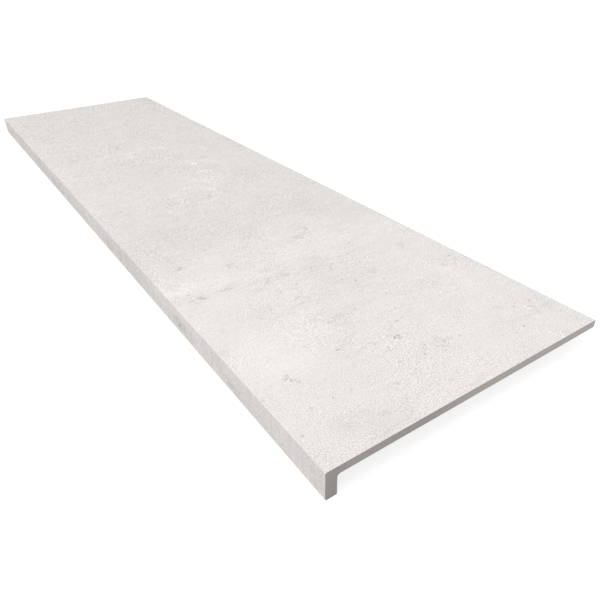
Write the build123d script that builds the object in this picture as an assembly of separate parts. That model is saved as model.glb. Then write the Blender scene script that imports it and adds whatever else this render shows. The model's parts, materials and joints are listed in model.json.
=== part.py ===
from build123d import *
import os

# Stair tread tile: one piece of porcelain stoneware with a square nose turned down along its front edge.
# Millimetres. +X runs along the step, +Y from the nose to the back edge and +Z up, with the walking
# surface level. The origin is under the middle of the tile, at the height of the foot of the nose.

# Format of the tile
LENGTH = 1200.0  # along the step
TREAD_DEPTH = 330.0  # from the front of the nose to the back edge
NOSE_HEIGHT = 30.0  # from the walking surface to the foot of the nose

# Section across the step
SLAB_THICKNESS = 8.5
NOSE_THICKNESS = 11.0
ROOT_RADIUS = 3.0  # hollow where the nose turns down from the slab
NOSING_RADIUS = 1.5  # arris at the front of the walking surface
FOOT_FRONT_RADIUS = 1.5  # lower arris of the nose, in front
FOOT_BACK_RADIUS = 1.0  # lower arris of the nose, towards the riser
EDGE_BEVEL = 0.5  # ground edges round the visible faces

# Keyed underside: shallow square cells between ribs, which the adhesive grips
KEY_PITCH = 40.0
KEY_RIB = 6.0
KEY_DEPTH = 0.6
KEY_BORDER = 15.0  # plain strip along the edges and behind the nose

FRONT = -TREAD_DEPTH / 2
BACK = TREAD_DEPTH / 2
NOSE_BACK = FRONT + NOSE_THICKNESS
UNDERSIDE = NOSE_HEIGHT - SLAB_THICKNESS


def tread_section():
    """The tile across the step: a flat slab with a short square nose hanging from its front edge."""
    corners = {
        "nosing": (FRONT, NOSE_HEIGHT),
        "foot_front": (FRONT, 0),
        "foot_back": (NOSE_BACK, 0),
        "root": (NOSE_BACK, UNDERSIDE),
        "back_low": (BACK, UNDERSIDE),
        "back_top": (BACK, NOSE_HEIGHT),
    }
    rounded = {
        "nosing": NOSING_RADIUS,
        "foot_front": FOOT_FRONT_RADIUS,
        "foot_back": FOOT_BACK_RADIUS,
        "root": ROOT_RADIUS,
    }
    section = make_face(Polyline(*corners.values(), close=True))
    for name, radius in rounded.items():
        corner = section.vertices().sort_by_distance(corners[name])[0]
        section = fillet(corner, radius)
    return section


def ground_edges(tile):
    """Edges of the walking surface, the nosing and the nose's face at both ends, and the top back edge."""
    surface = tile.faces().sort_by(Axis.Z)[-1]
    nose_face = tile.faces().filter_by(Axis.Y).sort_by(Axis.Y)[0]
    nosing = tile.faces().filter_by(GeomType.CYLINDER).sort_by_distance((0, FRONT, NOSE_HEIGHT))[0]
    shown = surface.edges() + nosing.edges() + nose_face.edges()
    back = surface.edges().sort_by(Axis.Y)[-1]
    return [*shown.group_by(Axis.X)[0], *shown.group_by(Axis.X)[-1], back]


def key_cells():
    """Square cells on a regular grid, sunk into the underside midway between the nose and the back edge."""
    field_front = NOSE_BACK + ROOT_RADIUS + KEY_BORDER
    field_back = BACK - KEY_BORDER
    field_length = LENGTH - 2 * KEY_BORDER
    along = int((field_length + KEY_RIB) // KEY_PITCH)
    across = int((field_back - field_front + KEY_RIB) // KEY_PITCH)
    cell = KEY_PITCH - KEY_RIB
    field = Pos(0, (field_front + field_back) / 2, UNDERSIDE)
    sunk = Box(cell, cell, KEY_DEPTH, align=(Align.CENTER, Align.CENTER, Align.MIN))
    return [field * place * sunk for place in GridLocations(KEY_PITCH, KEY_PITCH, along, across)]


def tread_tile():
    tile = extrude(Plane.YZ * tread_section(), amount=LENGTH / 2, both=True)
    tile = chamfer(ground_edges(tile), EDGE_BEVEL)
    return tile - key_cells()


os.makedirs("parts", exist_ok=True)
export_step(tread_tile(), "parts/tread_tile.step")
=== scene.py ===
import json
import math

import bpy
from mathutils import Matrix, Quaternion, Vector
from mathutils.geometry import intersect_point_line


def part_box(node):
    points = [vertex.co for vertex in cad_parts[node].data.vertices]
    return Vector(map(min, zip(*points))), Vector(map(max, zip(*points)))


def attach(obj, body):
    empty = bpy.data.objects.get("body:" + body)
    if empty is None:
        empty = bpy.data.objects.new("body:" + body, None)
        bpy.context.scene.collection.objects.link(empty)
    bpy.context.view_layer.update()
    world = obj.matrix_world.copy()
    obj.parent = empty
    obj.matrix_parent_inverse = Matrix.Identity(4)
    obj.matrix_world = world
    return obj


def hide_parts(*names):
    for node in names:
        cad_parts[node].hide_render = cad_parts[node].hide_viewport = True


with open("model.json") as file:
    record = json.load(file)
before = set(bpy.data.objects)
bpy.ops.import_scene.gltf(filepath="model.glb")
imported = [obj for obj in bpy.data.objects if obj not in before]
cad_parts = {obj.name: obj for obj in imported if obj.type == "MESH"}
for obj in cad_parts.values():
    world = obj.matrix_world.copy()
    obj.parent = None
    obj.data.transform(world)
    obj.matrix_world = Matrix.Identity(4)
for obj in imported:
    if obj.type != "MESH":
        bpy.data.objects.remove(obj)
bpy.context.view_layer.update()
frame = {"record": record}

MM = 0.001

# Sizes of the tile, in metres. What the frame holds is read from it.
TILE_NODE = "tread_tile"
tile_low, tile_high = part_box(TILE_NODE)
seats = {mount["name"]: Vector(mount["pos_m"]) for mount in frame["record"]["mounts"]}
LENGTH = tile_high.x - tile_low.x
FRONT, BACK = tile_low.y, tile_high.y
FOOT, TOP = tile_low.z, tile_high.z
UNDERSIDE = seats["bedding_face"].z
NOSE_BACK = seats["riser_lap_face"].y
NOSING_RADIUS = 1.5 * MM
FOOT_FRONT_RADIUS = 1.5 * MM
FOOT_BACK_RADIUS = 1.0 * MM
ROOT_RADIUS = 3.0 * MM
EDGE_BEVEL = 0.5 * MM

# Key cells in the underside, whose walls slope so that the tile leaves the press
KEY_PITCH = 40.0 * MM
KEY_RIB = 6.0 * MM
KEY_DEPTH = 0.6 * MM
KEY_BORDER = 15.0 * MM
KEY_DRAFT = 0.4 * MM
KEY_CELL = KEY_PITCH - KEY_RIB
KEY_FRONT = NOSE_BACK + ROOT_RADIUS + KEY_BORDER
KEY_BACK = BACK - KEY_BORDER
KEY_MIDDLE = (KEY_FRONT + KEY_BACK) / 2
CELLS_ALONG = int((LENGTH - 2 * KEY_BORDER + KEY_RIB) // KEY_PITCH)
CELLS_ACROSS = int((KEY_BACK - KEY_FRONT + KEY_RIB) // KEY_PITCH)

# The camera that took the photograph, solved from the tile's edges. Angles are in degrees, and the lens and
# the sensor in millimetres.
CAMERA_PLACE = Vector((816.1, -326.4, 348.8)) * MM
CAMERA_AZIMUTH = 56.52
CAMERA_ELEVATION = 32.57
CAMERA_ROLL = -1.20
CAMERA_LENS = 33.65
CAMERA_SENSOR = 36.0
CAMERA_NEAREST = 10 * MM

# The studio, in metres and watts
FLOOR_HALF = 20.0
SKY_LEVEL = 0.55
LAMP_PLACE = Vector((0.5, -0.75, 3.0))
LAMP_AIM = Vector((0.1, 0.0, 0.0))
LAMP_SIZE = (2.5, 2.0)
LAMP_POWER = 46.0

# The colours of a Mix node: its two inputs and its output
MIX_A, MIX_B, MIX_RESULT = 6, 7, 2


def linear(colour):
    """An sRGB hex colour as the linear RGBA that a shader takes."""
    levels = [int(colour[i:i + 2], 16) / 255 for i in (1, 3, 5)]
    return (*[c / 12.92 if c <= 0.04045 else ((c + 0.055) / 1.055) ** 2.4 for c in levels], 1.0)


def node(tree, kind, *ordered, named=(), **settings):
    """Adds a node. An input gets a link, from a socket or from a node's first output, or else a value."""
    made = tree.nodes.new(kind)
    for name, value in settings.items():
        setattr(made, name, value)
    for key, value in [*enumerate(ordered), *dict(named).items()]:
        if isinstance(value, bpy.types.Node):
            value = value.outputs[0]
        if isinstance(value, bpy.types.NodeSocket):
            tree.links.new(value, made.inputs[key])
        else:
            made.inputs[key].default_value = value
    return made


def empty_material(name):
    """A new material, with no nodes yet, and its tree."""
    material = bpy.data.materials.new(name)
    material.use_nodes = True
    material.node_tree.nodes.clear()
    return material, material.node_tree


# The print is a flat sheet, unrolled over the nosing. Places on it are given along the step and then across
# it, where the nosing is at -165 mm and the foot of the nose at -195 mm. A noise on it is given by the width
# and length of a feature in millimetres, its detail and its seed.

NOISE_ROUGHNESS = 0.6
NOISE_MIDDLE = 0.5
# Most of a noise lies between these levels.
NOISE_BULK = (0.30, 0.70)
# Half of a tone's contrast is darker than the middle, and half is lighter.
SWING = (-0.5, 0.5)
# How far apart the noise of two seeds is taken
SEED_STEP = (7.31, 3.17, 1.41)


def spaced(tree, sheet, size, seed):
    """The sheet in steps of the given width and length, moved to where the seed's noise is."""
    scale = (1 / (size[0] * MM), 1 / (size[1] * MM), 0)
    away = [seed * step for step in SEED_STEP]
    return node(tree, "ShaderNodeVectorMath", sheet, scale, away, operation="MULTIPLY_ADD")


def pattern(tree, sheet, size, detail, seed, roughness=NOISE_ROUGHNESS):
    """Noise on the sheet, with features of about the given width and length in millimetres."""
    return node(tree, "ShaderNodeTexNoise", named={
        "Vector": spaced(tree, sheet, size, seed), "Scale": 1.0, "Detail": detail, "Roughness": roughness})


def oval(tree, sheet, middle, half_widths):
    """1 in the middle of an oval on the sheet, given in millimetres, falling to 0 at its rim."""
    local = node(tree, "ShaderNodeMapping", sheet, (middle[0] * MM, middle[1] * MM, 0), (0, 0, 0),
                 (half_widths[0] * MM, half_widths[1] * MM, 1), vector_type="TEXTURE")
    return node(tree, "ShaderNodeTexGradient", local, gradient_type="SPHERICAL").outputs["Fac"]


def along_tile(tree, along, right, left):
    """A value that changes evenly from the right end of the tile to the left one."""
    return node(tree, "ShaderNodeMapRange", along, LENGTH / 2, -LENGTH / 2, right, left)


# Ground of the print: two pours that meet in a wandering edge

PRINT_COLOUR = "#E6E1DE"
POUR_COLOUR = "#EEE9E6"
POUR_EDGE = (205 * MM, 305 * MM)
POUR_WANDER = 200 * MM
POUR_NOISE = ((90, 90), 5, 1)


def poured_ground(tree, sheet, along):
    """The colour of two pours, the right one a little lighter, with a soft edge between them."""
    noise = pattern(tree, sheet, *POUR_NOISE)
    wander = node(tree, "ShaderNodeMapRange", noise, 0.0, 1.0, -POUR_WANDER / 2, POUR_WANDER / 2)
    wander = node(tree, "ShaderNodeMath", wander, along, operation="ADD")
    pour = node(tree, "ShaderNodeMapRange", wander, *POUR_EDGE, interpolation_type="SMOOTHSTEP")
    return node(tree, "ShaderNodeMix", pour, named={
        MIX_A: linear(PRINT_COLOUR), MIX_B: linear(POUR_COLOUR)}, data_type="RGBA").outputs[MIX_RESULT]


# Marks on the print: middle and half widths in millimetres, shade, strength and how far they break up

CLOUD_GREY = "#D6D0CD"
DRAG_GREY = "#C4BFBD"
GRIT_GREY = "#A6A19E"
BLOOM_WHITE = "#F6F2F0"
FLECK_WHITE = "#FCF9F6"
PRINT_CLOUDS = (
    ((-600, 165), (260, 120), CLOUD_GREY, 0.5, 2.0),
    ((-160, 165), (190, 40), CLOUD_GREY, 0.6, 2.0),
    ((-100, -165), (480, 75), POUR_COLOUR, 0.6, 1.5),
    ((45, 32), (50, 22), POUR_COLOUR, 0.7, 2.0),
    ((52, -30), (34, 28), POUR_COLOUR, 0.7, 2.0),
    ((384, 20), (75, 85), CLOUD_GREY, 0.15, 2.0),
    ((-190, -40), (35, 150), POUR_COLOUR, 0.5, 2.0),
    ((584, -100), (60, 90), CLOUD_GREY, 0.2, 2.0),
    ((460, -115), (100, 120), BLOOM_WHITE, 0.6, 1.5),
    ((456, 125), (60, 45), BLOOM_WHITE, 0.6, 3.0),
    ((308, -150), (45, 65), BLOOM_WHITE, 0.85, 2.5),
)
PRINT_STREAKS = (
    ((318, -60), (50, 170), DRAG_GREY, 0.25, 7.0),
    ((410, 0), (230, 260), CLOUD_GREY, 0.25, 6.0),
    ((305, -40), (30, 320), BLOOM_WHITE, 0.7, 3.0),
    ((270, 40), (30, 60), GRIT_GREY, 0.3, 5.0),
    ((-30, 45), (130, 60), BLOOM_WHITE, 0.5, 6.0),
    ((345, -182), (75, 28), GRIT_GREY, 0.5, 4.5),
    ((130, -182), (150, 26), GRIT_GREY, 0.35, 5.0),
    ((455, -185), (50, 22), GRIT_GREY, 0.35, 5.0),
    ((-200, -184), (420, 24), DRAG_GREY, 0.4, 3.0),
)
PRINT_SPECKS = (
    ((536, 14), (40, 34), GRIT_GREY, 0.3, 7.0),
    ((506, -10), (14, 11), GRIT_GREY, 0.5, 3.0),
    ((499, -130), (14, 11), GRIT_GREY, 0.45, 3.0),
    ((432, 129), (12, 9), GRIT_GREY, 0.4, 4.0),
    ((448, -37), (34, 24), GRIT_GREY, 0.25, 8.0),
    ((356, -5), (42, 34), GRIT_GREY, 0.35, 8.0),
    ((256, 50), (44, 34), GRIT_GREY, 0.3, 8.0),
    ((292, -75), (15, 12), GRIT_GREY, 0.35, 3.0),
    ((260, -127), (16, 13), GRIT_GREY, 0.35, 4.0),
    ((277, 32), (13, 18), GRIT_GREY, 0.25, 5.0),
    ((80, 1), (16, 12), GRIT_GREY, 0.4, 4.0),
    ((-88, 69), (18, 13), GRIT_GREY, 0.6, 4.0),
    ((-116, -45), (16, 12), GRIT_GREY, 0.3, 4.0),
    ((-232, -35), (20, 12), GRIT_GREY, 0.4, 4.0),
    ((-288, 117), (18, 14), GRIT_GREY, 0.4, 3.0),
    ((-288, 81), (16, 12), GRIT_GREY, 0.6, 3.0),
    ((-390, 36), (18, 14), GRIT_GREY, 0.4, 3.0),
    ((-314, -59), (16, 12), GRIT_GREY, 0.4, 3.0),
    ((-474, -44), (40, 12), GRIT_GREY, 0.25, 5.0),
    ((-65, 47), (22, 16), FLECK_WHITE, 1.0, 3.0),
    ((78, -41), (24, 18), FLECK_WHITE, 1.0, 4.0),
    ((-15, 77), (24, 12), FLECK_WHITE, 0.9, 5.0),
    ((586, 117), (26, 18), FLECK_WHITE, 0.8, 5.0),
    ((544, 129), (20, 14), FLECK_WHITE, 0.8, 5.0),
)
PRINT_SWIRLS = (
    ((64, -11), (52, 48), FLECK_WHITE, 0.6, 11.0),
    ((-8, 33), (34, 34), FLECK_WHITE, 0.5, 11.0),
    ((-30, 40), (85, 70), FLECK_WHITE, 0.4, 11.0),
    ((-160, 5), (65, 60), FLECK_WHITE, 0.4, 11.0),
)
PRINT_DRAGS = (
    ((333, -137), (26, 36), GRIT_GREY, 0.5, 4.0),
    ((336, -106), (18, 36), GRIT_GREY, 0.35, 4.0),
    ((305, -60), (40, 110), GRIT_GREY, 0.25, 5.0),
    ((345, -40), (40, 110), GRIT_GREY, 0.2, 5.0),
    ((318, -90), (45, 130), FLECK_WHITE, 0.4, 4.0),
)
# Each group, with the width and length in millimetres of the shreds that it breaks up into
MARK_GROUPS = (
    (PRINT_CLOUDS, (40, 40)),
    (PRINT_STREAKS, (2.4, 40)),
    (PRINT_SPECKS, (5, 5)),
    (PRINT_SWIRLS, (5, 5)),
    (PRINT_DRAGS, (3, 12)),
)
SHRED_DETAIL = 5
SHRED_SEED = 2
# The level that noise has to pass to show at the rim of a mark, and how much lower it is in the middle
SHRED_LEVEL = 0.75
SHRED_FILL = 0.2
# The outlines of the marks are bent by up to half of this.
MARK_BEND = 20 * MM
BEND_NOISE = ((30, 30), 3, 20)
# A swirl is a ring, where its oval is at this level.
SWIRL_LINE = 0.35
# Grit breaks up every mark but the clouds, to this least and most share of its strength.
GRIT_NOISE = ((2.6, 2.6), 2, 40)
GRIT_SHOWN = (0.38, 0.62)
MARK_GRIT = (0.2, 1.6)
# Specks bring more grain with them, up to a limit.
SPECK_GRAIN = 4.0
SPECK_GRAIN_MOST = 1.2


def bent_sheet(tree, sheet):
    """The sheet pushed about a little, so that no mark on it is a true oval."""
    push = node(tree, "ShaderNodeVectorMath", pattern(tree, sheet, *BEND_NOISE).outputs["Color"],
                (NOISE_MIDDLE, NOISE_MIDDLE, NOISE_MIDDLE), operation="SUBTRACT")
    return node(tree, "ShaderNodeVectorMath", push, (MARK_BEND, MARK_BEND, 0), sheet,
                operation="MULTIPLY_ADD")


def swirl(tree, ball):
    """Turns an oval into a ring."""
    off = node(tree, "ShaderNodeMath", ball, SWIRL_LINE, operation="SUBTRACT")
    off = node(tree, "ShaderNodeMath", off, operation="ABSOLUTE")
    return node(tree, "ShaderNodeMath", off, -1 / SWIRL_LINE, 1.0, operation="MULTIPLY_ADD", use_clamp=True)


def printed_marks(tree, sheet, bent, colour):
    """Lays the marks over the colour of the ground. Also gives how much grain the specks add."""
    grit = node(tree, "ShaderNodeMapRange", pattern(tree, sheet, *GRIT_NOISE), *GRIT_SHOWN, *MARK_GRIT)
    added = 0.0
    for seed, (marks, shred) in enumerate(MARK_GROUPS, SHRED_SEED):
        noise = pattern(tree, sheet, shred, SHRED_DETAIL, seed)
        torn = node(tree, "ShaderNodeMath", noise, SHRED_LEVEL, operation="SUBTRACT")
        for middle, half_widths, shade, strength, breaks in marks:
            shape = oval(tree, bent, middle, half_widths)
            if marks is PRINT_SWIRLS:
                shape = swirl(tree, shape)
            broken = node(tree, "ShaderNodeMath", shape, SHRED_FILL, torn, operation="MULTIPLY_ADD")
            ragged = node(tree, "ShaderNodeMath", broken, breaks, shape, operation="MULTIPLY_ADD")
            mask = node(tree, "ShaderNodeMapRange", ragged, 0.0, 1.0, 0.0, strength,
                        interpolation_type="SMOOTHSTEP")
            if marks is PRINT_SPECKS:
                added = node(tree, "ShaderNodeMath", mask, SPECK_GRAIN, added, operation="MULTIPLY_ADD")
            if marks is not PRINT_CLOUDS:
                mask = node(tree, "ShaderNodeMath", mask, grit, operation="MULTIPLY")
            colour = node(tree, "ShaderNodeMix", mask, named={
                MIX_A: colour, MIX_B: linear(shade)}, data_type="RGBA").outputs[MIX_RESULT]
    return colour, node(tree, "ShaderNodeMath", added, SPECK_GRAIN_MOST, operation="MINIMUM")


# Pores: width and length in millimetres, detail, roughness, the part of the noise that shows, and how much
# they darken at the right and at the left end of the tile

PRINT_PORES = (
    ((28, 28), 5, 0.9, (0.36, 0.44), 0.09, 0.04),
    ((2.4, 2.4), 1, 0.6, (0.20, 0.30), 0.16, 0.16),
)
PORE_SEED = 31


def pores(tree, sheet, along, tone):
    """Darkens the tone in small pits, like those that air leaves in cast concrete."""
    for seed, (size, detail, roughness, shown, right, left) in enumerate(PRINT_PORES, PORE_SEED):
        noise = pattern(tree, sheet, size, detail, seed, roughness)
        pits = node(tree, "ShaderNodeMapRange", noise, *shown, -1.0, 0.0)
        depth = along_tile(tree, along, right, left)
        tone = node(tree, "ShaderNodeMath", pits, depth, tone, operation="MULTIPLY_ADD")
    return tone


# Spots: distance between them and radius in millimetres, share of the places that hold one, and how much they
# darken

PRINT_SPOTS = (
    (24, 1.8, 0.50, 0.28),
    (55, 2.4, 0.50, 0.28),
    (30, 1.9, 0.35, -0.08),
)
SPOT_SEED = 43
# One spot in this many has its full strength.
SPOTS_TO_A_FULL_ONE = 3
# A spot is even out to this share of its radius, and fades from there to its rim.
SPOT_CORE = 0.5
SPOT_CRUMPLE = 3 * MM
CRUMPLE_NOISE = ((4, 4), 2, 42)
GATHER_NOISE = ((80, 80), 2, 41)
GATHER_SHOWN = (0.36, 0.54)


def spots(tree, sheet, tone):
    """Darkens or lightens the tone in single spots with crumpled rims, which gather in places."""
    gather = node(tree, "ShaderNodeMapRange", pattern(tree, sheet, *GATHER_NOISE), *GATHER_SHOWN)
    crumpled = node(tree, "ShaderNodeVectorMath", pattern(tree, sheet, *CRUMPLE_NOISE).outputs["Color"],
                    (SPOT_CRUMPLE, SPOT_CRUMPLE, 0), sheet, operation="MULTIPLY_ADD")
    for seed, (pitch, radius, share, shade) in enumerate(PRINT_SPOTS, SPOT_SEED):
        rim = radius / pitch
        cells = node(tree, "ShaderNodeTexVoronoi", named={
            "Vector": spaced(tree, crumpled, (pitch, pitch), seed), "Scale": 1.0}, voronoi_dimensions="2D")
        chance = node(tree, "ShaderNodeSeparateColor", cells.outputs["Color"])
        full = 1 - share / SPOTS_TO_A_FULL_ONE
        chosen = node(tree, "ShaderNodeMapRange", chance, 1 - share, full, 0.0, -shade)
        spot = node(tree, "ShaderNodeMapRange", cells.outputs["Distance"], rim, SPOT_CORE * rim)
        spot = node(tree, "ShaderNodeMath", spot, gather, operation="MULTIPLY")
        tone = node(tree, "ShaderNodeMath", spot, chosen, tone, operation="MULTIPLY_ADD")
    return tone


# Hairlines: width and length of a bend in millimetres, thickness as a part of the noise, and how much they
# darken

PRINT_HAIRLINES = (
    ((20, 90), 0.022, 0.08),
    ((30, 80), 0.018, -0.05),
)
HAIRLINE_DETAIL = 2
HAIRLINE_SEED = 47
# Where they show
HAIRLINE_PATCH = ((40, 90), 3)
HAIRLINE_PATCH_SEED = 50
HAIRLINE_SHOWN = (0.48, 0.62)


def hairlines(tree, sheet, tone):
    """Darkens or lightens the tone in lines, which run where a drawn-out noise is at its middle level."""
    for step, (size, thickness, shade) in enumerate(PRINT_HAIRLINES):
        noise = pattern(tree, sheet, size, HAIRLINE_DETAIL, HAIRLINE_SEED + step)
        level = node(tree, "ShaderNodeMath", noise, NOISE_MIDDLE, operation="SUBTRACT")
        level = node(tree, "ShaderNodeMath", level, operation="ABSOLUTE")
        line = node(tree, "ShaderNodeMapRange", level, 0.0, thickness, -shade, 0.0)
        patch = pattern(tree, sheet, *HAIRLINE_PATCH, HAIRLINE_PATCH_SEED + step)
        here = node(tree, "ShaderNodeMapRange", patch, *HAIRLINE_SHOWN)
        tone = node(tree, "ShaderNodeMath", line, here, tone, operation="MULTIPLY_ADD")
    return tone


# Runs on the face of the nose

RUN_NOISE = ((4.5, 70), 3, 55)
RUN_CONTRAST = 0.12


def nose_runs(tree, sheet, drop, tone):
    """Fine runs down the face of the nose, as of glaze that sank a little before it was fired."""
    nose = node(tree, "ShaderNodeMapRange", drop, 0.0, -NOSING_RADIUS, 0.0, RUN_CONTRAST)
    runs = node(tree, "ShaderNodeMapRange", pattern(tree, sheet, *RUN_NOISE), *NOISE_BULK, *SWING)
    return node(tree, "ShaderNodeMath", runs, nose, tone, operation="MULTIPLY_ADD")


# Tones and grain: width and length of a feature in millimetres, detail, the part of the noise that shows, and
# the contrast at the right and at the left end of the tile

PRINT_TONES = (
    ((330, 330), 2, NOISE_BULK, 0.03, 0.03),
    ((70, 70), 5, NOISE_BULK, 0.055, 0.04),
    ((18, 18), 4, (0.25, 0.48), 0.03, 0.03),
    ((9, 120), 4, (0.35, 0.65), 0.025, 0.025),
)
TONE_SEED = 6
# The dots of the real print are well under a millimetre wide, too fine to show, so the grain is drawn
# coarser. It is coarsest towards the left end, which is furthest from the camera.
PRINT_GRAINS = (
    ((5.0, 5.0), 1, NOISE_BULK, 0.02, 0.03),
    ((2.2, 2.2), 1, NOISE_BULK, 0.08, 0.56),
    ((1.2, 1.2), 1, NOISE_BULK, 0.50, 0.56),
)
GRAIN_SEED = 10
# The grain's rows are turned away from the edges of the tile, along which they would show.
GRAIN_TURN = math.radians(34)
# How much of the grain shows from place to place
GRAIN_SHARE = (0.6, 1.2)
LIVELY_NOISE = ((60, 60), 2, 30)
LIVELY_SHOWN = (0.35, 0.65)
# Patches trowelled smooth: middle and half widths in millimetres. From their rims inwards they come to hold
# only this share of the grain.
PRINT_TROWELLED = (
    ((415, -140), (120, 60)),
    ((60, -150), (150, 50)),
    ((600, -165), (80, 70)),
)
TROWELLED_RIM = (0.0, 0.5)
TROWELLED_GRAIN = 0.75


def liveliness(tree, sheet, bent):
    """The share of the grain that shows, which is smaller where the print looks trowelled."""
    noise = pattern(tree, sheet, *LIVELY_NOISE)
    lively = node(tree, "ShaderNodeMapRange", noise, *LIVELY_SHOWN, *GRAIN_SHARE)
    for middle, half_widths in PRINT_TROWELLED:
        smooth = node(tree, "ShaderNodeMapRange", oval(tree, bent, middle, half_widths), *TROWELLED_RIM,
                      1.0, TROWELLED_GRAIN, interpolation_type="SMOOTHSTEP")
        lively = node(tree, "ShaderNodeMath", lively, smooth, operation="MULTIPLY")
    return lively


def toned(tree, sheet, along, layers, first_seed, share, tone):
    """Lightens and darkens the tone by a share of each layer of noise. Also gives the last layer's noise."""
    for seed, (size, detail, shown, right, left) in enumerate(layers, first_seed):
        noise = pattern(tree, sheet, size, detail, seed)
        level = node(tree, "ShaderNodeMapRange", noise, *shown, *SWING)
        contrast = along_tile(tree, along, right, left)
        contrast = node(tree, "ShaderNodeMath", contrast, share, operation="MULTIPLY")
        tone = node(tree, "ShaderNodeMath", level, contrast, tone, operation="MULTIPLY_ADD")
    return tone, noise


# Porcelain stoneware, printed, with a matt glaze. To the eye it is pale and dull, with the clouds, drag
# marks, pits and fine grain of cast concrete. It is a touch rougher where the grain is livelier, and has no
# clear reflection.

GLAZE_ROUGHNESS = (0.58, 0.72)
GLAZE_IOR = 1.5
GLAZE_RELIEF = 0.3
GLAZE_RELIEF_HEIGHT = 0.1 * MM


def glazed_print():
    """Porcelain stoneware with a matt glaze, printed to look like cast concrete."""
    material, tree = empty_material("matt_glazed_porcelain_printed")
    place = node(tree, "ShaderNodeTexCoord").outputs["Object"]
    axes = node(tree, "ShaderNodeSeparateXYZ", place).outputs
    along = axes["X"]
    drop = node(tree, "ShaderNodeMath", axes["Z"], TOP, operation="SUBTRACT")
    across = node(tree, "ShaderNodeMath", axes["Y"], drop, operation="ADD")
    sheet = node(tree, "ShaderNodeCombineXYZ", along, across)
    bent = bent_sheet(tree, sheet)
    turned = node(tree, "ShaderNodeMapping", sheet, (0, 0, 0), (0, 0, GRAIN_TURN))

    colour = poured_ground(tree, sheet, along)
    colour, added = printed_marks(tree, sheet, bent, colour)
    lively = liveliness(tree, sheet, bent)
    grain_share = node(tree, "ShaderNodeMath", lively, added, operation="ADD")
    tone = pores(tree, sheet, along, 1.0)
    tone = spots(tree, sheet, tone)
    tone = hairlines(tree, sheet, tone)
    tone = nose_runs(tree, sheet, drop, tone)
    tone, _ = toned(tree, sheet, along, PRINT_TONES, TONE_SEED, 1.0, tone)
    tone, grain = toned(tree, turned, along, PRINT_GRAINS, GRAIN_SEED, grain_share, tone)

    colour = node(tree, "ShaderNodeVectorMath", colour, named={"Scale": tone.outputs[0]}, operation="SCALE")
    relief = node(tree, "ShaderNodeBump", GLAZE_RELIEF, GLAZE_RELIEF_HEIGHT, named={"Height": grain})
    dullness = node(tree, "ShaderNodeMapRange", lively, *GRAIN_SHARE, *GLAZE_ROUGHNESS)
    shader = node(tree, "ShaderNodeBsdfPrincipled", colour, named={
        "Roughness": dullness, "IOR": GLAZE_IOR, "Normal": relief})
    node(tree, "ShaderNodeOutputMaterial", shader)
    return material


# Fired porcelain body without glaze, ground at the edges. To the eye it is a dull warm grey, finely grained,
# faintly lined along the edges, where the wheel ran, and chalky on the ribs underneath.

BODY_NAME = "ground_porcelain_body"
BODY_DARK = "#9C9692"
BODY_LIGHT = "#CFC9C5"
BODY_ROUGHNESS = 0.75
BODY_IOR = 1.5
# The grain of the real body and the lines of the wheel are too fine to show, so both are drawn coarser.
# A line is given by its length and width.
BODY_GRAIN = 1.6 * MM
BODY_GRAIN_DETAIL = 3
BODY_GRAIN_RELIEF = 0.3
GRIND_LINE = (70 * MM, 0.7 * MM)
GRIND_SLICE = 0.4
GRIND_DETAIL = 2
GRIND_SHADES = (0.95, 1.05)
GRIND_RELIEF = 0.2
BODY_RELIEF_HEIGHT = 0.1 * MM
# The body's tone varies in large patches of noise, taken from a shifted place. The shift is set so that the
# patches also paint the right end lighter towards the back: a painted light gradient. The body is darker in
# the nose than in the slab: painted shade.
BODY_PATCH = 160 * MM
BODY_PATCH_DETAIL = 2
BODY_SHIFT_FOR_PAINTED_LIGHT = (0.0, 0.0, 200 * MM)
BODY_TONES_AND_PAINTED_LIGHT = (0.84, 1.19)
NOSE_PAINTED_SHADES = (0.85, 1.03)
NOSE_PAINTED_SHADE_FADE = 15 * MM
KILN_WASH = "#DAD7D2"
WASH_STRENGTH = 0.6
WASH_PATCH = 25 * MM
WASH_DETAIL = 6
WASH_SHOWN = (0.35, 0.60)
# The upright part of a face's normal where the wash begins, and where it has its full strength
WASH_FACING = (-0.7, -0.9)


def grinding_lines(tree, axes):
    """Fine lines along the edges of the tile, left by the wheel that ground them."""
    along = node(tree, "ShaderNodeMath", axes["X"], axes["Y"], operation="ADD")
    along = node(tree, "ShaderNodeMath", along, GRIND_LINE[0], operation="DIVIDE")
    up = node(tree, "ShaderNodeMath", axes["Z"], GRIND_LINE[1], operation="DIVIDE")
    drawn_out = node(tree, "ShaderNodeCombineXYZ", along, up, GRIND_SLICE)
    return node(tree, "ShaderNodeTexNoise", named={"Vector": drawn_out, "Scale": 1.0, "Detail": GRIND_DETAIL})


def body_tone_and_painted_light(tree, place, axes, lines):
    """How light the body is: lined, patchy with a painted light gradient, and with painted shade in the nose.
    """
    shade = node(tree, "ShaderNodeMapRange", lines, *NOISE_BULK, *GRIND_SHADES)
    # Random patches of tone, shifted so that they also paint the right end lighter towards the back: painted
    # light
    shifted = node(tree, "ShaderNodeVectorMath", place, BODY_SHIFT_FOR_PAINTED_LIGHT, operation="ADD")
    patches_and_painted_light = node(tree, "ShaderNodeTexNoise", named={
        "Vector": shifted, "Scale": 1 / BODY_PATCH, "Detail": BODY_PATCH_DETAIL})
    patches_and_painted_light = node(tree, "ShaderNodeMapRange", patches_and_painted_light, *NOISE_BULK, *BODY_TONES_AND_PAINTED_LIGHT)
    shade = node(tree, "ShaderNodeMath", shade, patches_and_painted_light, operation="MULTIPLY")
    # Painted shade: the body is darker in the nose, at the front of the tile
    nose = node(tree, "ShaderNodeMapRange", axes["Y"], NOSE_BACK, NOSE_BACK + NOSE_PAINTED_SHADE_FADE, *NOSE_PAINTED_SHADES)
    return node(tree, "ShaderNodeMath", shade, nose, operation="MULTIPLY")


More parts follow.
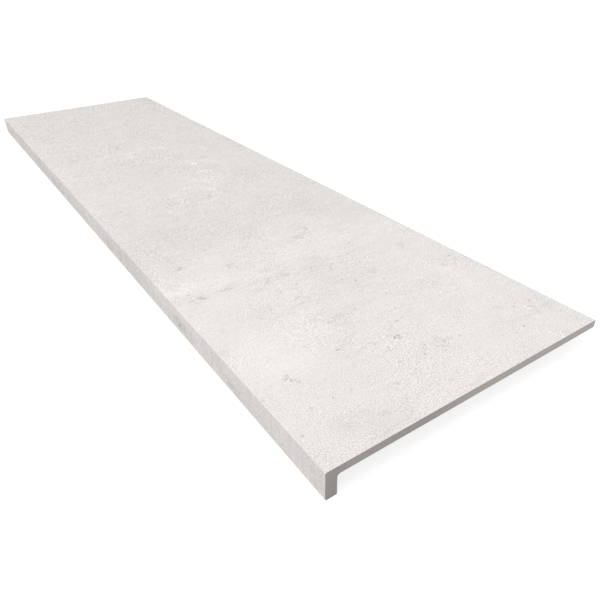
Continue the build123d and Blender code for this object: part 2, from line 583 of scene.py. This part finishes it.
def kiln_washed(tree, place, axes, colour):
    """Chalky kiln wash, which stays in patches on the ribs that the tile was fired on."""
    normal = node(tree, "ShaderNodeNewGeometry").outputs["Normal"]
    facing = node(tree, "ShaderNodeSeparateXYZ", normal).outputs["Z"]
    under = node(tree, "ShaderNodeMapRange", facing, *WASH_FACING)
    raised = node(tree, "ShaderNodeMapRange", axes["Z"], UNDERSIDE + KEY_DEPTH, UNDERSIDE)
    rib = node(tree, "ShaderNodeMath", under, raised, operation="MULTIPLY")
    patchy = node(tree, "ShaderNodeTexNoise", named={
        "Vector": place, "Scale": 1 / WASH_PATCH, "Detail": WASH_DETAIL})
    patchy = node(tree, "ShaderNodeMapRange", patchy, *WASH_SHOWN, 0.0, WASH_STRENGTH)
    wash = node(tree, "ShaderNodeMath", rib, patchy, operation="MULTIPLY")
    return node(tree, "ShaderNodeMix", wash, named={
        MIX_A: colour, MIX_B: linear(KILN_WASH)}, data_type="RGBA").outputs[MIX_RESULT]


def raw_body():
    """The grey porcelain body: fine-grained and dull, ground along the edges and as pressed underneath."""
    material, tree = empty_material(BODY_NAME)
    place = node(tree, "ShaderNodeTexCoord").outputs["Object"]
    axes = node(tree, "ShaderNodeSeparateXYZ", place).outputs
    grain = node(tree, "ShaderNodeTexNoise", named={
        "Vector": place, "Scale": 1 / BODY_GRAIN, "Detail": BODY_GRAIN_DETAIL})
    lines = grinding_lines(tree, axes)
    colour = node(tree, "ShaderNodeMix", grain, named={
        MIX_A: linear(BODY_DARK), MIX_B: linear(BODY_LIGHT)}, data_type="RGBA").outputs[MIX_RESULT]
    shade = body_tone_and_painted_light(tree, place, axes, lines)
    colour = node(tree, "ShaderNodeVectorMath", colour, named={"Scale": shade.outputs[0]}, operation="SCALE")
    colour = kiln_washed(tree, place, axes, colour)
    relief = node(tree, "ShaderNodeBump", BODY_GRAIN_RELIEF, BODY_RELIEF_HEIGHT, named={"Height": grain})
    relief = node(tree, "ShaderNodeBump", GRIND_RELIEF, BODY_RELIEF_HEIGHT, named={
        "Height": lines, "Normal": relief})
    shader = node(tree, "ShaderNodeBsdfPrincipled", colour, named={
        "Roughness": BODY_ROUGHNESS, "IOR": BODY_IOR, "Normal": relief})
    node(tree, "ShaderNodeOutputMaterial", shader)
    return material


# The tile

ARRIS_POINTS = 8
SHARP_ANGLE = math.radians(30)
# What the sweep is given, by the names of its inputs
SWEEP_SIZES = {
    "Length": LENGTH,
    "Key pitch": KEY_PITCH,
    "Key cell": KEY_CELL,
    "Key depth": KEY_DEPTH,
    "Key draft": KEY_DRAFT,
    "Nose back": NOSE_BACK,
    "Sharp angle": SHARP_ANGLE,
}
SWEEP_COUNTS = {
    "Arris points": ARRIS_POINTS,
    "Cells along": CELLS_ALONG,
}
# A face looks down if the upright part of its normal is less than this.
FACING_DOWN = -0.5
# A face is glazed if its normal leans up or forwards by more than this.
GLAZED_LEAN = 0.4
# An edge between a glazed face and another has half a share of glaze.
HALF_GLAZED = 0.5
HALF_GLAZED_SLACK = 0.25
CELL_AREA_SLACK = MM * MM
END_SLACK = 0.01 * MM


def tread_section():
    """The section across the step as a closed line. A corner's radius is how far it is rounded."""
    corners = [
        (BACK, TOP - EDGE_BEVEL, 0),
        (BACK - EDGE_BEVEL, TOP, 0),
        (FRONT, TOP, NOSING_RADIUS),
        (FRONT, FOOT, FOOT_FRONT_RADIUS),
        (NOSE_BACK, FOOT, FOOT_BACK_RADIUS),
        (NOSE_BACK, UNDERSIDE, ROOT_RADIUS),
    ]
    first = KEY_MIDDLE - (CELLS_ACROSS * KEY_PITCH - KEY_RIB) / 2
    for cell in range(CELLS_ACROSS):
        corners += [(first + cell * KEY_PITCH + side, UNDERSIDE, 0) for side in (0, KEY_CELL)]
    corners.append((BACK, UNDERSIDE, 0))
    line = bpy.data.curves.new("tread_section", "CURVE")
    line.dimensions = "3D"
    spline = line.splines.new("POLY")
    spline.points.add(len(corners) - 1)
    for point, (across, up, radius) in zip(spline.points, corners):
        point.co = (across, up, 0, 1)
        point.radius = radius
    spline.use_cyclic_u = True
    return line


def sweep_inputs(tree):
    """Names the inputs and the output of the sweep."""
    tree.interface.new_socket("Section", in_out="INPUT", socket_type="NodeSocketGeometry")
    for name in SWEEP_SIZES:
        tree.interface.new_socket(name, in_out="INPUT", socket_type="NodeSocketFloat")
    for name in SWEEP_COUNTS:
        tree.interface.new_socket(name, in_out="INPUT", socket_type="NodeSocketInt")
    tree.interface.new_socket("Tile", in_out="OUTPUT", socket_type="NodeSocketGeometry")
    return node(tree, "NodeGroupInput").outputs


def path_along_step(tree, given, half):
    """A line with a point at both ends of the tile and on each side of a row of cells."""
    right = node(tree, "ShaderNodeCombineXYZ", half)
    left = node(tree, "ShaderNodeVectorMath", right, named={"Scale": -1.0}, operation="SCALE")
    path = node(tree, "GeometryNodeCurvePrimitiveLine", left, right)
    points = node(tree, "ShaderNodeMath", given["Cells along"], 2.0, 2.0, operation="MULTIPLY_ADD")
    path = node(tree, "GeometryNodeResampleCurve", path, named={"Count": points}, mode="COUNT")

    # Between the ends, the points go in pairs: the left and the right side of each row.
    index = node(tree, "GeometryNodeInputIndex")
    order = node(tree, "ShaderNodeMath", index, 1.0, operation="SUBTRACT")
    side = node(tree, "ShaderNodeMath", order, 2.0, operation="FLOORED_MODULO")
    row = node(tree, "ShaderNodeMath", order, side, operation="SUBTRACT")
    row = node(tree, "ShaderNodeMath", row, 0.5, operation="MULTIPLY")
    rows = node(tree, "ShaderNodeMath", given["Cells along"], 1.0, operation="SUBTRACT")
    middle = node(tree, "ShaderNodeMath", rows, 0.5, operation="MULTIPLY")
    row = node(tree, "ShaderNodeMath", row, middle, operation="SUBTRACT")
    centre = node(tree, "ShaderNodeMath", row, given["Key pitch"], operation="MULTIPLY")
    turn = node(tree, "ShaderNodeMath", side, 0.5, operation="SUBTRACT")
    border = node(tree, "ShaderNodeMath", turn, given["Key cell"], centre, operation="MULTIPLY_ADD")

    ends = node(tree, "GeometryNodeCurveEndpointSelection")
    inner = node(tree, "FunctionNodeBooleanMath", ends, operation="NOT")
    path = node(tree, "GeometryNodeSetPosition", path, inner, node(tree, "ShaderNodeCombineXYZ", border))
    return node(tree, "GeometryNodeSetCurveNormal", path, named={"Normal": (0, 1, 0)}, mode="FREE")


def sink_cells(tree, given, tile, normal):
    """Sinks the key cells. A cell is the only face of the underside that is as long as it is wide."""
    area = node(tree, "GeometryNodeInputMeshFaceArea")
    cell_area = node(tree, "ShaderNodeMath", given["Key cell"], given["Key cell"], operation="MULTIPLY")
    alike = node(tree, "ShaderNodeMath", area, cell_area, CELL_AREA_SLACK, operation="COMPARE")
    below = node(tree, "ShaderNodeMath", normal["Z"], FACING_DOWN, operation="LESS_THAN")
    cell = node(tree, "ShaderNodeMath", alike, below, operation="MULTIPLY")
    inward = node(tree, "ShaderNodeMath", given["Key depth"], -1.0, operation="MULTIPLY")
    sunk = node(tree, "GeometryNodeExtrudeMesh", tile, cell, named={
        "Offset Scale": inward, "Individual": True}, mode="FACES")
    slope = node(tree, "ShaderNodeMath", given["Key draft"], given["Key cell"], operation="DIVIDE")
    shrink = node(tree, "ShaderNodeMath", slope, -2.0, 1.0, operation="MULTIPLY_ADD")
    return node(tree, "GeometryNodeScaleElements", sunk, sunk.outputs["Top"], shrink, domain="FACE")


def glazed_faces(tree, given, normal, place):
    """1 on the walking surface, the nosing and the face of the nose, which the glaze covers."""
    above = node(tree, "ShaderNodeMath", normal["Z"], GLAZED_LEAN, operation="GREATER_THAN")
    ahead = node(tree, "ShaderNodeMath", normal["Y"], -GLAZED_LEAN, operation="LESS_THAN")
    outer = node(tree, "ShaderNodeMath", place["Y"], given["Nose back"], operation="LESS_THAN")
    facing = node(tree, "ShaderNodeMath", ahead, outer, operation="MULTIPLY")
    shown = node(tree, "ShaderNodeMath", above, facing, operation="MAXIMUM")
    return node(tree, "GeometryNodeFieldOnDomain", shown, domain="FACE", data_type="FLOAT")


def mark_ground_edges(tree, tile, shown, place, half):
    """Marks the edges at which the ends of the tile meet the glaze, where they are ground."""
    meeting = node(tree, "GeometryNodeFieldOnDomain", shown, domain="EDGE", data_type="FLOAT")
    meets = node(tree, "ShaderNodeMath", meeting, HALF_GLAZED, HALF_GLAZED_SLACK, operation="COMPARE")
    reach = node(tree, "ShaderNodeMath", place["X"], operation="ABSOLUTE")
    at_end = node(tree, "ShaderNodeMath", reach, half, END_SLACK, operation="COMPARE")
    ground = node(tree, "ShaderNodeMath", meets, at_end, operation="MULTIPLY")
    return node(tree, "GeometryNodeStoreNamedAttribute", tile, named={
        "Name": "bevel_weight_edge", "Value": ground}, domain="EDGE", data_type="FLOAT")


def sweep_tree(glaze, body):
    """Sweeps the section along the step, sinks the key cells into its underside and glazes what is seen."""
    tree = bpy.data.node_groups.new("tread_tile_sweep", "GeometryNodeTree")
    given = sweep_inputs(tree)
    half = node(tree, "ShaderNodeMath", given["Length"], 0.5, operation="MULTIPLY")
    normal = node(tree, "ShaderNodeSeparateXYZ", node(tree, "GeometryNodeInputNormal")).outputs
    place = node(tree, "ShaderNodeSeparateXYZ", node(tree, "GeometryNodeInputPosition")).outputs

    radius = node(tree, "GeometryNodeInputRadius")
    outline = node(tree, "GeometryNodeFilletCurve", given["Section"], named={
        "Count": given["Arris points"], "Radius": radius}, mode="POLY")
    path = path_along_step(tree, given, half)
    tile = node(tree, "GeometryNodeCurveToMesh", path, outline, named={"Fill Caps": True})
    tile = sink_cells(tree, given, tile, normal)
    shown = glazed_faces(tree, given, normal, place)
    tile = mark_ground_edges(tree, tile, shown, place, half)

    tile = node(tree, "GeometryNodeSetShadeSmooth", tile, named={"Shade Smooth": True}, domain="FACE")
    angle = node(tree, "GeometryNodeInputMeshEdgeAngle")
    sharp = node(tree, "ShaderNodeMath", angle, given["Sharp angle"], operation="GREATER_THAN")
    tile = node(tree, "GeometryNodeSetShadeSmooth", tile, sharp, False, domain="EDGE")
    tile = node(tree, "GeometryNodeRealizeInstances", tile)
    tile = node(tree, "GeometryNodeSetMaterial", tile, named={"Material": body})
    tile = node(tree, "GeometryNodeSetMaterial", tile, shown, named={"Material": glaze})
    node(tree, "NodeGroupOutput", tile)
    return tree


UNROLL_GAP = 10 * MM
# A face belongs to an end of the tile if its normal lies this far along the step.
END_FACING = 0.9


def reach_along(mesh, outline):
    """How far along the outline of the section each point of the mesh is, and how long the outline is."""
    first = min(range(len(outline)), key=lambda i: (outline[i] - Vector((BACK, UNDERSIDE))).length)
    outline = outline[first:] + outline[:first + 1]
    stretches = list(zip(outline, outline[1:]))
    starts = [0.0]
    for low, high in stretches:
        starts.append(starts[-1] + (high - low).length)

    def travelled(point):
        """How far along the outline the nearest place to a point of the section is."""
        best = []
        for start, (low, high) in zip(starts, stretches):
            _, part = intersect_point_line(point, low, high)
            part = min(max(part, 0.0), 1.0)
            best.append(((low.lerp(high, part) - point).length, start + part * (high - low).length))
        return min(best)[1]

    return [travelled(vertex.co.yz) for vertex in mesh.vertices], starts[-1]


def unroll(mesh, outline):
    """Lays the faces flat: the section unrolled along the step, and the two ends side by side beyond it."""
    reach, around = reach_along(mesh, outline)
    side = LENGTH + 2 * UNROLL_GAP
    beyond = around + UNROLL_GAP
    sheet = mesh.uv_layers.new(name="OFBake")
    for face in mesh.polygons:
        corners = [(loop, mesh.loops[loop].vertex_index) for loop in face.loop_indices]
        reached = [reach[vertex] for _, vertex in corners]
        wraps = max(reached) - min(reached) > around / 2
        for loop, vertex in corners:
            place = mesh.vertices[vertex].co
            if face.normal.x < -END_FACING:
                flat = (BACK - place.y, beyond + place.z - FOOT)
            elif face.normal.x > END_FACING:
                flat = (BACK - FRONT + UNROLL_GAP + place.y - FRONT, beyond + place.z - FOOT)
            else:
                whole_turn = around if wraps and reach[vertex] < around / 2 else 0
                flat = (place.x + LENGTH / 2, reach[vertex] + whole_turn)
            sheet.data[loop].uv = [(value + UNROLL_GAP) / side for value in flat]


def swept_mesh():
    """The tile as Geometry Nodes sweep it, as a plain mesh."""
    section = bpy.data.objects.new("tread_section", tread_section())
    bpy.context.scene.collection.objects.link(section)
    tree = sweep_tree(glazed_print(), raw_body())
    sweep = section.modifiers.new("sweep", "NODES")
    sweep.node_group = tree
    sizes = SWEEP_SIZES | SWEEP_COUNTS
    for socket in tree.interface.items_tree:
        if socket.name in sizes:
            sweep[socket.identifier] = sizes[socket.name]
    swept = section.evaluated_get(bpy.context.evaluated_depsgraph_get())
    mesh = bpy.data.meshes.new_from_object(swept)
    bpy.data.objects.remove(section)
    return mesh


def tread_tile():
    """The finished tile: swept, ground at its ends and laid out flat."""
    tile = bpy.data.objects.new("porcelain_tread", swept_mesh())
    bpy.context.scene.collection.objects.link(tile)
    end = max(tile.data.polygons, key=lambda face: len(face.vertices))
    outline = [tile.data.vertices[i].co.yz for i in end.vertices]

    bevel = tile.modifiers.new("ground_ends", "BEVEL")
    bevel.limit_method = "WEIGHT"
    bevel.width = EDGE_BEVEL
    bevel.segments = 1
    bevel.material = tile.data.materials.find(BODY_NAME)
    flats = tile.modifiers.new("flat_faces", "WEIGHTED_NORMAL")
    flats.keep_sharp = True
    finished = tile.evaluated_get(bpy.context.evaluated_depsgraph_get())
    tile.data = bpy.data.meshes.new_from_object(finished)
    tile.modifiers.clear()
    unroll(tile.data, outline)
    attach(tile, "root")
    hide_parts(TILE_NODE)


# Camera, floor and light

# Linear greys, as a shader takes them
WHITE = (1.0, 1.0, 1.0, 1.0)
# Paper as it lights the tile, and as the camera sees it: lifted by a glow, with less contrast in its shadow
PAPER = (0.8, 0.8, 0.8, 1.0)
PAPER_SHADE = (0.35, 0.35, 0.35, 1.0)
PAPER_LIFT = 0.8


def camera():
    """The camera at the place and the angle of the photograph."""
    lens = bpy.data.cameras.new("camera")
    lens.sensor_width = CAMERA_SENSOR
    lens.lens = CAMERA_LENS
    lens.clip_start = CAMERA_NEAREST
    made = bpy.data.objects.new("camera", lens)
    azimuth = math.radians(CAMERA_AZIMUTH)
    elevation = math.radians(CAMERA_ELEVATION)
    level = math.cos(elevation)
    forward = Vector((-math.sin(azimuth) * level, math.cos(azimuth) * level, -math.sin(elevation)))
    made.rotation_mode = "QUATERNION"
    roll = Quaternion((0, 0, 1), math.radians(CAMERA_ROLL))
    made.rotation_quaternion = forward.to_track_quat("-Z", "Y") @ roll
    made.location = CAMERA_PLACE
    bpy.context.scene.collection.objects.link(made)
    bpy.context.scene.camera = made


def seen_directly(tree):
    """1 for what the camera sees, also in a reflection or through something clear, and 0 for other light."""
    ray = node(tree, "ShaderNodeLightPath").outputs
    seen = node(tree, "ShaderNodeMath", ray["Is Camera Ray"], ray["Is Glossy Ray"], operation="ADD")
    return node(tree, "ShaderNodeMath", seen, ray["Is Transmission Ray"], operation="ADD", use_clamp=True)


def floor():
    """White paper. The camera sees it lifted to white, with a light shadow round the tile."""
    mesh = bpy.data.meshes.new("floor")
    corners = [(x * FLOOR_HALF, y * FLOOR_HALF, 0) for x, y in ((-1, -1), (1, -1), (1, 1), (-1, 1))]
    mesh.from_pydata(corners, [], [range(len(corners))])
    made = bpy.data.objects.new("floor", mesh)
    bpy.context.scene.collection.objects.link(made)
    material, tree = empty_material("white_paper")
    paper = node(tree, "ShaderNodeBsdfDiffuse", PAPER)
    shade = node(tree, "ShaderNodeBsdfDiffuse", PAPER_SHADE)
    lift = node(tree, "ShaderNodeEmission", WHITE, PAPER_LIFT)
    pale = node(tree, "ShaderNodeAddShader", shade, lift)
    mixed = node(tree, "ShaderNodeMixShader", seen_directly(tree), paper, pale)
    node(tree, "ShaderNodeOutputMaterial", mixed)
    mesh.materials.append(material)


def sky():
    """Even light from all round, which the camera sees as white."""
    world = bpy.data.worlds.new("studio")
    world.use_nodes = True
    bpy.context.scene.world = world
    tree = world.node_tree
    tree.nodes.clear()
    light = node(tree, "ShaderNodeBackground", WHITE, SKY_LEVEL)
    white = node(tree, "ShaderNodeBackground", WHITE, 1.0)
    mixed = node(tree, "ShaderNodeMixShader", seen_directly(tree), light, white)
    node(tree, "ShaderNodeOutputWorld", mixed)


def softbox():
    """One large soft lamp above the front of the tile."""
    lamp = bpy.data.lights.new("overhead", "AREA")
    lamp.shape = "RECTANGLE"
    lamp.size, lamp.size_y = LAMP_SIZE
    lamp.energy = LAMP_POWER
    made = bpy.data.objects.new("overhead", lamp)
    made.location = LAMP_PLACE
    made.rotation_mode = "QUATERNION"
    made.rotation_quaternion = (LAMP_AIM - LAMP_PLACE).to_track_quat("-Z", "Y")
    bpy.context.scene.collection.objects.link(made)


bpy.context.scene.view_settings.view_transform = "Standard"
tread_tile()
camera()
floor()
sky()
softbox()
